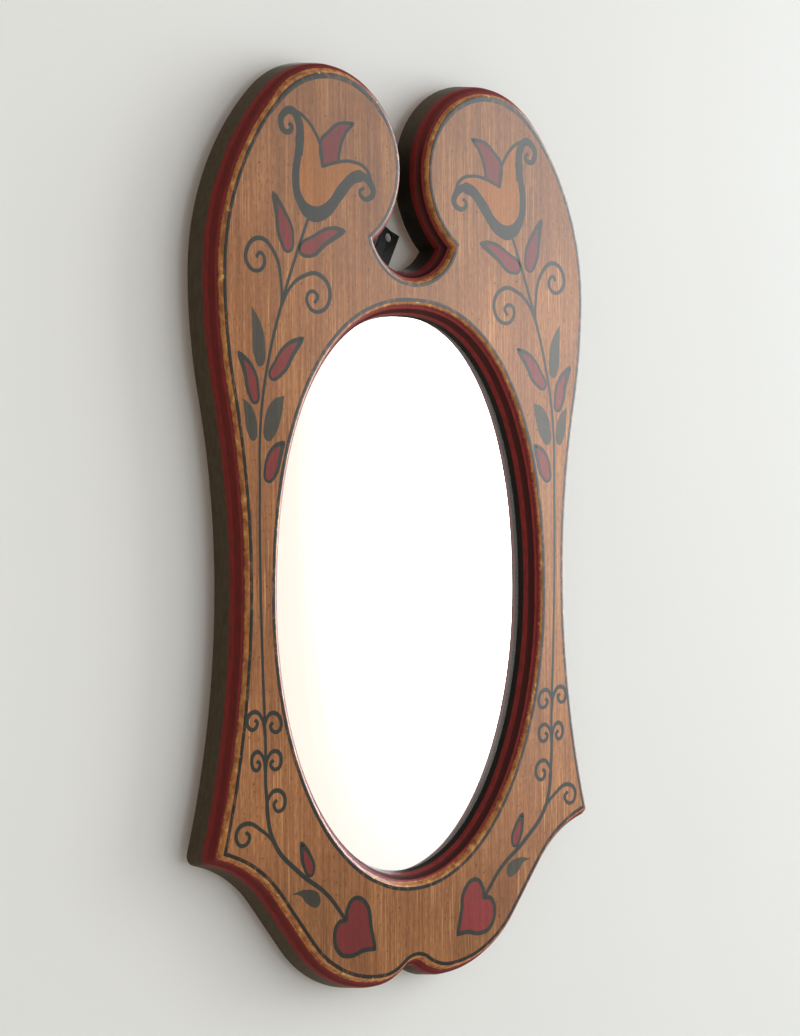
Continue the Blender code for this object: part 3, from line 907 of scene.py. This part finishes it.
# %% [markdown]
# ## Shader maths
#
# The finishes below mix many noises and masks. One small class wraps a socket of a material, so that
# `1 - mask` or `grain * 0.3` adds the right Math node, and its method `node` adds any other node.

# %% A socket that can be calculated with
def socket_of(sockets, key):
    """Socket with a number, an identifier or a name."""
    if isinstance(key, int):
        return sockets[key]
    return next(socket for socket in sockets if key in (socket.identifier, socket.name))


def set_sockets(tree, shader, sockets):
    """Gives a node's sockets their values or links."""
    for key, value in sockets.items():
        target = socket_of(shader.inputs, key)
        if isinstance(value, Wire):
            tree.links.new(value.socket, target)
        else:
            target.default_value = value


class Wire:
    """A socket of a node tree; arithmetic on it adds Math nodes."""

    def __init__(self, tree, socket=None):
        self.tree = tree
        self.socket = socket

    def node(self, kind, settings=None, sockets=None, output=0):
        """New node of a kind: its settings come first, then its sockets; returns one of its outputs."""
        made = self.tree.nodes.new("ShaderNode" + kind)
        for key, value in (settings or {}).items():
            setattr(made, key, value)
        set_sockets(self.tree, made, sockets or {})
        return Wire(self.tree, socket_of(made.outputs, output))

    def math(self, operation, first, second=0.0):
        return self.node("Math", {"operation": operation}, {0: first, 1: second})

    def __add__(self, other):
        return self.math("ADD", self, other)

    __radd__ = __add__

    def __sub__(self, other):
        return self.math("SUBTRACT", self, other)

    def __rsub__(self, other):
        return self.math("SUBTRACT", other, self)

    def __mul__(self, other):
        return self.math("MULTIPLY", self, other)

    __rmul__ = __mul__

    def rise(self, low, high):
        """0 below low, 1 above high, smooth between; with low above high it falls instead."""
        sockets = {"Value": self, "From Min": low, "From Max": high}
        return self.node("MapRange", {"interpolation_type": "SMOOTHSTEP"}, sockets)

    def noise(self, across, along, detail=2.0, roughness=0.5):
        """Noise in the board's own directions: changes per metre across the grain and along it."""
        place = self.node("TexCoord", output="Object")
        scale = (across, across, along)
        stretched = self.node("VectorMath", {"operation": "MULTIPLY"}, {0: place, 1: scale})
        sockets = {"Vector": stretched, "Scale": 1.0, "Detail": detail, "Roughness": roughness}
        return self.node("TexNoise", {}, sockets)

    def mix(self, first, second):
        """Colour that goes from first to second as this value goes from 0 to 1."""
        sockets = {"Factor_Float": self, "A_Color": first, "B_Color": second}
        return self.node("Mix", {"data_type": "RGBA"}, sockets, "Result_Color")

    def tint(self, colour):
        """Colour made darker or lighter by this value."""
        return self.node("VectorMath", {"operation": "SCALE"}, {0: colour, "Scale": self})

    def bump(self, strength, distance):
        """Normal of a surface whose height is this value."""
        sockets = {"Strength": strength, "Distance": distance, "Height": self}
        return self.node("Bump", {}, sockets, "Normal")

    def split(self, coordinates):
        """The X, Y and Z of some coordinates of the surface."""
        whole = self.node("TexCoord", output=coordinates)
        parts = self.node("SeparateXYZ", {}, {"Vector": whole}).socket.node.outputs
        return [Wire(self.tree, part) for part in parts]


print("a wire's methods:", [name for name in vars(Wire) if not name.startswith("_")])

# %% Colours and finishes
def shade(red, green, blue):
    """Colour as a picture shows it, in steps of 255, as the linear colour that a shader takes."""
    linear = []
    for step in (red, green, blue):
        value = step / 255
        linear.append(value / 12.92 if value <= 0.04045 else ((value + 0.055) / 1.055) ** 2.4)
    return (*linear, 1.0)


def finish(name):
    """New material with its Principled shader; returns the material and a wire to build with."""
    material = bpy.data.materials.new(name)
    material.use_nodes = True
    return material, Wire(material.node_tree)


def apply_finish(material, piece, **sockets):
    """Sets the shader's sockets, named with _ for a space, and gives the finish to a piece."""
    named = {key.replace("_", " "): value for key, value in sockets.items()}
    set_sockets(material.node_tree, material.node_tree.nodes["Principled BSDF"], named)
    piece.data.materials.clear()
    piece.data.materials.append(material)


print("ready to mix finishes; white is", shade(255, 255, 255))

# %% [markdown]
# ## Stained wood and painted mouldings
#
# The face is a straight-grained wood under a brown stain and a satin varnish: fine upright streaks, long
# pale threads, dark pores and a few specks. The wood is lighter towards the lower right and darker at the
# ears and the foot, and the varnish has gone dull at the lower left. Round the edges, the band number of
# each ring picks the paint: a dark pinstripe on the face, an edge rubbed down to ochre, a red ledge, a dark
# red cove, a red wall and an olive side. Inside the oval the cove is a darker paint and the side nearly
# black, and its red is lighter, which is painted light for the light that the glass throws onto it. Inside
# the notch the darker cove and the nearly black side are painted shade. A little noise is added to the
# band first, because a hand drew those edges, and small chips show along the pinstripe.

# %% Grain
CLOUDS = (34, 12)
FIBRES = (540, 10)
DASHES = (760, 170)
THREADS = (1100, 16)
THREAD_PATCHES = (30, 14)
PORES = (800, 190)
SPECKS = (480, 400)
PLAIN_TONE = 1.18
LOWER_RIGHT_LIGHTER = 0.2
LIGHTER_ACROSS = (-0.14, 0.14)
LIGHTER_BELOW = (0, -0.10)
EAR_HEIGHTS = (-0.04, 0.05)
EAR_DARKER = 0.24
FOOT_HEIGHTS = (-0.38, -0.45)
FOOT_DARKER = 0.22
DULL_TO_SHINY = (-0.24, -0.06)


def grain_of(wire):
    """Streaks, long pale threads, pores and specks of the wood, each from 0 to 1."""
    fibres = wire.noise(*FIBRES, detail=3, roughness=0.7)
    streaks = wire.noise(*CLOUDS) * 0.25 + fibres * 0.5 + wire.noise(*DASHES, detail=1) * 0.25
    patches = wire.noise(*THREAD_PATCHES, detail=1).rise(0.42, 0.62)
    threads = wire.noise(*THREADS, detail=1).rise(0.60, 0.70) * patches
    pores = wire.noise(*PORES, detail=1).rise(0.63, 0.73)
    specks = wire.noise(*SPECKS, detail=0).rise(0.75, 0.79)
    return streaks, threads, pores, specks


def tone_and_sheen_of(wire):
    """Tone of the wood, lighter to the lower right and darker at the ears and the foot, sheen of the
    varnish, and the place across and up the board.
    """
    across, _, height = wire.split("Object")
    lighter_lower_right = across.rise(*LIGHTER_ACROSS) * height.rise(*LIGHTER_BELOW)
    tone = PLAIN_TONE + lighter_lower_right * LOWER_RIGHT_LIGHTER - height.rise(*EAR_HEIGHTS) * EAR_DARKER
    tone = tone - height.rise(*FOOT_HEIGHTS) * FOOT_DARKER
    sheen = (across + height * 0.5).rise(*DULL_TO_SHINY)
    return tone, sheen, across, height


print("grain: streaks, threads, pores and specks")

# %% Wood of the board
WOOD_LIGHT = shade(168, 114, 71)
WOOD_MIDDLE = shade(138, 90, 54)
WOOD_DARK = shade(116, 73, 42)
WOOD_THREAD = shade(192, 140, 94)
PORE = shade(58, 36, 22)
RAW_BACK = shade(122, 92, 66)
RAW_STREAK = shade(96, 70, 50)

board_finish, wire = finish("stained_and_painted_board")
streaks, threads, pores, specks = grain_of(wire)
wood = streaks.rise(0.36, 0.52).mix(WOOD_DARK, WOOD_MIDDLE)
wood = streaks.rise(0.48, 0.66).mix(wood, WOOD_LIGHT)
wood = (threads * 0.75).mix(wood, WOOD_THREAD)
wood = (pores * 0.45 + specks * 0.6).mix(wood, PORE)
tone, sheen, across, height = tone_and_sheen_of(wire)
wood = tone.tint(wood)
back = streaks.rise(0.35, 0.65).mix(RAW_STREAK, RAW_BACK)
print("wood:", len(board_finish.node_tree.nodes), "nodes")

# %% Paints of the moulding
PINSTRIPE = shade(36, 36, 32)
OCHRE = shade(188, 122, 64)
OCHRE_WORN = shade(214, 166, 96)
OCHRE_DIRT = shade(146, 88, 48)
OCHRE_CHIP = shade(206, 172, 104)
RED = shade(126, 37, 34)
COVE_RED = shade(108, 33, 30)
# Lighter red inside the oval: painted light, for the light that the glass throws onto it.
OVAL_RED_MIRROR_LIT = shade(144, 46, 45)
# Darker cove red and, below, a near black: the oval's own paints, and painted shade inside the notch.
INSIDE_RED_AND_NOTCH_SHADE = shade(74, 27, 26)
OLIVE = shade(74, 63, 45)
INSIDE_BLACK_AND_NOTCH_SHADE = shade(30, 29, 25)
WEAR = (260, 160)
BRUSH_MARKS = (420, 110)
NOTCH_ACROSS_SQUARED = (0.0021, 0.0016)
NOTCH_FOOT = (-0.08, -0.05)
NOTCH_MOUTH = (0.085, 0.03)

wear = wire.noise(*WEAR, detail=3, roughness=0.6)
ochre = wear.rise(0.36, 0.56).mix(OCHRE_DIRT, OCHRE)
ochre = wear.rise(0.58, 0.70).mix(ochre, OCHRE_WORN)
pinstripe = (wear.rise(0.50, 0.68) * 0.35).mix(PINSTRIPE, wood)

round_oval = wire.node("Attribute", {"attribute_name": "oval"}, output="Fac")
# Painted shade: the notch lies in shadow, so its cove is painted darker and its side nearly black.
notch_shade = (across * across).rise(*NOTCH_ACROSS_SQUARED) * height.rise(*NOTCH_FOOT)
notch_shade = notch_shade * height.rise(*NOTCH_MOUTH)
# Mask of the oval's own darker paints together with the painted shade of the notch.
inside = notch_shade.math("MAXIMUM", notch_shade, round_oval)
stroked = wire.noise(*BRUSH_MARKS, detail=3, roughness=0.6).rise(0.4, 0.65) * 0.35
# Painted light: the red is lighter inside the oval.
red = stroked.mix(round_oval.mix(RED, OVAL_RED_MIRROR_LIT), PORE)
# Cove and side: darker inside the oval as its own paint, and inside the notch as painted shade.
cove = stroked.mix(inside.mix(COVE_RED, INSIDE_RED_AND_NOTCH_SHADE), PORE)
side = stroked.mix(inside.mix(OLIVE, INSIDE_BLACK_AND_NOTCH_SHADE), PORE)
print("paints: pinstripe, ochre, red, cove and side")

# %% Bands of paint
EDGE = 0.05
HAND = (70, 70)
HAND_WOBBLE = 0.22
CRUMBS = (520, 520)
CRUMBLED = 0.6
STRIPE_BROADENS = (0.06, 0.09)
STRIPE_WIDER = 0.35
OCHRE_BROADENS = (-0.30, -0.44)
OCHRE_WIDER = 0.45
RUBBED_ABOVE = (0.075, 0.095)
RUBBED_LEFT = (-0.03, -0.06)
RUBBED_WIDER = 0.7
CHIPS = (150, 150)

band = wire.node("Attribute", {"attribute_name": "band"}, output="Fac")
band = band + (wire.noise(*HAND, detail=3) - 0.5) * HAND_WOBBLE
broader = height.rise(*STRIPE_BROADENS) * STRIPE_WIDER
paint = (band + broader).rise(STRIPE_START - EDGE, STRIPE_START + EDGE).mix(wood, pinstripe)
paint = band.rise(STRIPE_END - EDGE, STRIPE_END + EDGE).mix(paint, ochre)
rubbed = band - height.rise(*OCHRE_BROADENS) * OCHRE_WIDER
rubbed = rubbed + (wire.noise(*CRUMBS, detail=2) - 0.5) * CRUMBLED
rubbed = rubbed - height.rise(*RUBBED_ABOVE) * across.rise(*RUBBED_LEFT) * RUBBED_WIDER
paint = rubbed.rise(OCHRE_END - 2 * EDGE, OCHRE_END + 2 * EDGE).mix(paint, red)
for start, colour in ((LEDGE_END, cove), (COVE_END, red), (WALL_END, side), (SIDE_END, back)):
    paint = band.rise(start - EDGE, start + EDGE).mix(paint, colour)
at_stripe = band.rise(STRIPE_END - 0.6, STRIPE_END - 0.2) * band.rise(STRIPE_END + 0.6, STRIPE_END + 0.3)
chips = wire.noise(*CHIPS, detail=1).rise(0.69, 0.72) * at_stripe
paint = chips.mix(paint, OCHRE_CHIP)
print("bands of paint:", len(board_finish.node_tree.nodes), "nodes so far")

# %% Varnish of the board
UNDERCOAT_GLOSS = 0.1
PAINT_GLOSS = 0.12
VARNISH = 0.45
EDGE_GLOSS = 0.5
VARNISH_ROUGHNESS = 0.22

relief = streaks * 0.5 - pores * 0.6 + wear * 0.3
on_face = band.rise(OCHRE_END, STRIPE_END)
on_edge = band.rise(STRIPE_END - 0.3, STRIPE_END + 0.2) * band.rise(LEDGE_END, OCHRE_END)
varnish = PAINT_GLOSS + on_face * sheen * (VARNISH - PAINT_GLOSS) + on_edge * (EDGE_GLOSS - PAINT_GLOSS)
apply_finish(
    board_finish, board, Base_Color=paint, Roughness=0.55 + streaks * 0.2,
    Normal=relief.bump(0.2, 0.0003), Specular_IOR_Level=UNDERCOAT_GLOSS, Coat_Weight=varnish,
    Coat_Roughness=VARNISH_ROUGHNESS,
)
print("board finish:", len(board_finish.node_tree.nodes), "nodes")

# %% [markdown]
# ## Brushed paints
#
# The ornament was painted thinly, so the grain of the wood still shows in it. All four paints share one
# recipe: a colour, a darker one where the pores lie, and the tone and sheen of the wood round them. The
# heart on the right is lighter still.

# %% Ornament paints
RIGHT_SIDE = (0, 0.05)
HEART_HEIGHTS = (-0.40, -0.44)
RIGHT_HEART_LIGHTER = 0.45


def brushed_paint(name, piece, colour, deep):
    """Thin paint under the varnish, with the grain of the wood showing through."""
    material, wire = finish(name)
    streaks, _, pores, _ = grain_of(wire)
    shown = streaks.rise(0.35, 0.65).mix(deep, colour)
    shown = (pores * 0.3).mix(shown, PORE)
    tone, sheen, across, height = tone_and_sheen_of(wire)
    varnish = PAINT_GLOSS + sheen * (VARNISH - PAINT_GLOSS)
    # The heart on the right is made lighter.
    tone = tone + across.rise(*RIGHT_SIDE) * height.rise(*HEART_HEIGHTS) * RIGHT_HEART_LIGHTER
    relief = streaks * 0.4 - pores * 0.5
    apply_finish(
        material, piece, Base_Color=tone.tint(shown), Roughness=0.55 + streaks * 0.2,
        Normal=relief.bump(0.2, 0.0002), Specular_IOR_Level=UNDERCOAT_GLOSS, Coat_Weight=varnish,
        Coat_Roughness=VARNISH_ROUGHNESS,
    )


brushed_paint("dark_line_paint", dark_paint_piece, shade(44, 46, 39), shade(34, 36, 30))
brushed_paint("red_petal_paint", red_paint_piece, shade(120, 44, 41), shade(102, 36, 34))
brushed_paint("green_leaf_paint", green_paint_piece, shade(66, 61, 50), shade(50, 47, 38))
brushed_paint("amber_glaze", amber_paint_piece, shade(168, 106, 50), shade(140, 84, 38))
print("four brushed paints")

# %% [markdown]
# ## Silvered glass
#
# An old mirror is bright, but never quite clear: a thin haze of dust and fine scratches lies on it, so
# a little of what it shows is a soft pale veil. The metallic value is set below 1 for that veil.

# %% Mirror finish
SILVER = (0.95, 0.95, 0.93, 1)
SILVERED = 0.84
VEIL = 0.1
SMEARS = (24, 9)

mirror_finish, wire = finish("silvered_glass")
smears = wire.noise(*SMEARS, detail=3)
apply_finish(
    mirror_finish, glass, Base_Color=SILVER, Roughness=smears * 0.03,
    Metallic=SILVERED - smears.rise(0.3, 0.8) * VEIL,
)
print("mirror finish:", mirror_finish.name)

# %% [markdown]
# ## Steel, hardboard and card
#
# The clips and screws are zinc-plated and a little dull. The strap is blackened, and the black is worn
# through to bright steel in spots. Hardboard has a fine matt fibre, and the card behind the glass, which
# only shows when the board is taken apart, is plain grey.

# %% Fittings' finishes
ZINC = (shade(150, 150, 146), shade(190, 190, 186))
BLACK_TO_BRIGHT = (shade(22, 22, 21), shade(150, 148, 142))
HARDBOARD = (shade(120, 86, 55), shade(158, 118, 80))
CARD = (shade(150, 142, 130), shade(176, 168, 154))
BLOOM = (260, 260)
SCRATCHES = (2600, 160)
WORN_SPOTS = (420, 420)
SCALE = (1500, 1500)
MATTED_FIBRES = (1700, 1700)
BLOTCHES = (40, 40)
PULP = (900, 900)

zinc, wire = finish("dull_zinc")
bloom = wire.noise(*BLOOM, detail=4, roughness=0.6)
scratches = wire.noise(*SCRATCHES, detail=2)
plated = bloom.rise(0.35, 0.65).mix(*ZINC)
dullness = 0.3 + bloom * 0.25
for piece, *_ in fittings:
    apply_finish(
        zinc, piece, Base_Color=plated, Metallic=0.9, Roughness=dullness,
        Normal=scratches.bump(0.12, 0.0002),
    )

black_steel, wire = finish("worn_black_steel")
wear = wire.noise(*WORN_SPOTS, detail=4, roughness=0.65).rise(0.66, 0.72)
worn = wear.mix(*BLACK_TO_BRIGHT)
apply_finish(
    black_steel, strap, Base_Color=worn, Metallic=wear * 0.9, Roughness=0.6 - wear * 0.2,
    Normal=wire.noise(*SCALE, detail=2).bump(0.12, 0.0002), Specular_IOR_Level=0.2,
)

fibre_finish, wire = finish("hardboard_fibre")
fibres = wire.noise(*MATTED_FIBRES, detail=4, roughness=0.7)
blotches = wire.noise(*BLOTCHES, detail=3)
fibre = (fibres * 0.75 + blotches * 0.25).rise(0.35, 0.65).mix(*HARDBOARD)
apply_finish(
    fibre_finish, hardboard, Base_Color=fibre, Roughness=0.72, Normal=fibres.bump(0.25, 0.0003),
)

card_finish, wire = finish("grey_card")
pulp = wire.noise(*PULP, detail=4, roughness=0.7)
card = pulp.rise(0.35, 0.65).mix(*CARD)
apply_finish(
    card_finish, frame["nodes"]["packing_card"], Base_Color=card, Roughness=0.85,
    Normal=pulp.bump(0.2, 0.0003),
)
print("finishes: zinc, black steel, hardboard, card")

# %% [markdown]
# ## The room
#
# A pale wall stands a few millimetres behind the mirror, as the strap keeps it off, and a pale floor lies
# far below it. The wall is only there seen from the front: from behind it lets everything through, so
# the back of the mirror can be looked at too.

# %% Wall and floor
WALL_GAP = 0.004
WALL_SIZE = 7.0
FLOOR_DROP = 1.45
MOTTLE = (6, 6)
MOTTLED = 0.97
TROWEL_MARKS = (700, 700)
WALL_PAINT = shade(232, 232, 229)
FLOOR_PAINT = shade(226, 224, 220)


def plaster(name, piece, colour):
    """Matt plaster for a piece of the stage, with a faint unevenness."""
    material, wire = finish(name)
    low = tuple(MOTTLED * value for value in colour[:3]) + (1,)
    mottled = wire.noise(*MOTTLE, detail=4).mix(low, colour)
    rough = wire.noise(*TROWEL_MARKS, detail=2)
    apply_finish(material, piece, Base_Color=mottled, Roughness=0.8, Normal=rough.bump(0.06, 0.0005))
    return wire


def clear_from_behind(wire):
    """Lets a finish be seen only from the side that its faces look to."""
    nodes = wire.tree.nodes
    solid = Wire(wire.tree, nodes["Principled BSDF"].outputs[0])
    behind = wire.node("NewGeometry", output="Backfacing")
    shown = wire.node("MixShader", {}, {0: behind, 1: solid, 2: wire.node("BsdfTransparent")})
    wire.tree.links.new(shown.socket, nodes["Material Output"].inputs["Surface"])


wall_y = cad_box[1].y + WALL_GAP
bpy.ops.mesh.primitive_plane_add(size=WALL_SIZE, location=(0, wall_y, 0), rotation=(math.pi / 2, 0, 0))
bpy.ops.object.transform_apply()
wall = bpy.context.object
wall.name = "pale_wall"
clear_from_behind(plaster("wall_plaster", wall, WALL_PAINT))
bpy.ops.mesh.primitive_plane_add(size=WALL_SIZE, location=(0, 0, cad_box[0].z - FLOOR_DROP))
floor = bpy.context.object
floor.name = "pale_floor"
plaster("floor_plaster", floor, FLOOR_PAINT)
print(f"wall at y = {wall_y:.4f}")

# %% [markdown]
# ## Light
#
# Daylight from the right is the main light, and the pale room gives the rest. What the glass mirrors is
# set apart from what lights the room: a dim room that turns into a soft cream glow and then into bright
# daylight on the right. A lamp behind the wall lights the back, and the wall doesn't block it.

# %% Light of the room
AMBIENT = 0.43
DAYLIGHT_AMBIENT = 1.2
DAYLIGHT_SIDE = (0.66, -0.75)
DAYLIGHT_SPREAD = (0.55, 0.95)
BACKGROUND = 1.0
DIM = 0.45
GLOW = 1.1
DAYLIGHT = 10.5
IN_FRONT = (0.1, -0.1)
DAYLIGHT_HEIGHT_SQUARED = (0.2, 0.09)
DAYLIGHT_FOOT = (-0.17, 0.0)
GLOW_START = (0.57, 0.61)
CREAM_END = (0.67, 0.61)
DAYLIGHT_START = (0.62, 0.70)
SKY_START = (0.70, 0.80)
WAVES = 90
WHITE = (1.0, 1.0, 1.0, 1)
WARM = (1.0, 0.985, 0.96, 1)
CREAM = (1.0, 0.93, 0.80, 1)
SKY = (0.80, 0.90, 1.0, 1)

world = bpy.data.worlds.new("pale_room")
world.use_nodes = True
bpy.context.scene.world = world
wire = Wire(world.node_tree)
towards, ahead, height = wire.split("Generated")
bright_side = (towards * DAYLIGHT_SIDE[0] + ahead * DAYLIGHT_SIDE[1]).rise(*DAYLIGHT_SPREAD)
soft = wire.node("Background", {}, {"Color": WARM, "Strength": AMBIENT + bright_side * DAYLIGHT_AMBIENT})

front = ahead.rise(*IN_FRONT) * (height * height).rise(*DAYLIGHT_HEIGHT_SQUARED)
waves = wire.node("TexNoise", {"noise_dimensions": "1D"}, {"W": towards * WAVES, "Detail": 2.0})
colour = (towards.rise(*CREAM_END) * (0.6 + waves * 0.6)).mix(WHITE, CREAM)
colour = towards.rise(*SKY_START).mix(colour, SKY)
pale = front * towards.rise(*GLOW_START)
bright = front * towards.rise(*DAYLIGHT_START) * height.rise(*DAYLIGHT_FOOT)
glow = DIM + pale * (GLOW - DIM) + bright * (DAYLIGHT - GLOW)
lit = wire.node("Background", {}, {"Color": colour, "Strength": glow})

plain = wire.node("Background", {}, {"Color": WHITE, "Strength": BACKGROUND})
glossy = wire.node("LightPath", output="Is Glossy Ray")
glossy = glossy.math("MAXIMUM", glossy, wire.node("LightPath", output="Is Transmission Ray"))
room = wire.node("MixShader", {}, {0: glossy, 1: soft, 2: lit})
room = wire.node("MixShader", {}, {0: wire.node("LightPath", output="Is Camera Ray"), 1: room, 2: plain})
world.node_tree.links.new(room.socket, world.node_tree.nodes["World Output"].inputs["Surface"])
print("world:", len(world.node_tree.nodes), "nodes")

# %% Lamps
KEY_PLACE = Vector((1.85, -0.82, 0.15))
KEY_WATTS = 19
KEY_SIZE = (0.8, 1.4)
KEY_COLOUR = (0.86, 0.94, 1.0)
BACK_PLACE = Vector((0.5, 1.7, 0.4))
BACK_WATTS = 21
BACK_SIZE = (1.4, 1.4)
BACK_COLOUR = (1.0, 0.98, 0.95)


def area_light(name, place, target, size, watts, colour):
    """Rectangular lamp at a place, turned to a target."""
    bpy.ops.object.light_add(type="AREA", location=place)
    lamp = bpy.context.object
    lamp.name = name
    lamp.rotation_euler = (target - place).to_track_quat("-Z", "Y").to_euler()
    lamp.data.shape = "RECTANGLE"
    lamp.data.size, lamp.data.size_y = size
    lamp.data.energy = watts
    lamp.data.color = colour
    return lamp


middle = Vector((0, 0, oval_middle))
area_light("window_light", KEY_PLACE, middle, KEY_SIZE, KEY_WATTS, KEY_COLOUR)
back_fill = area_light("back_fill", BACK_PLACE, middle, BACK_SIZE, BACK_WATTS, BACK_COLOUR)
bpy.ops.object.select_all(action="DESELECT")
wall.select_set(True)
bpy.context.view_layer.objects.active = back_fill
bpy.ops.object.light_linking_blockers_link(link_state="EXCLUDE")
print("lamps: window_light, back_fill")

# %% [markdown]
# ## Finish
#
# The picture is shown with the Standard view, so a colour comes out about as it was written.

# %% View
bpy.context.scene.view_settings.view_transform = "Standard"
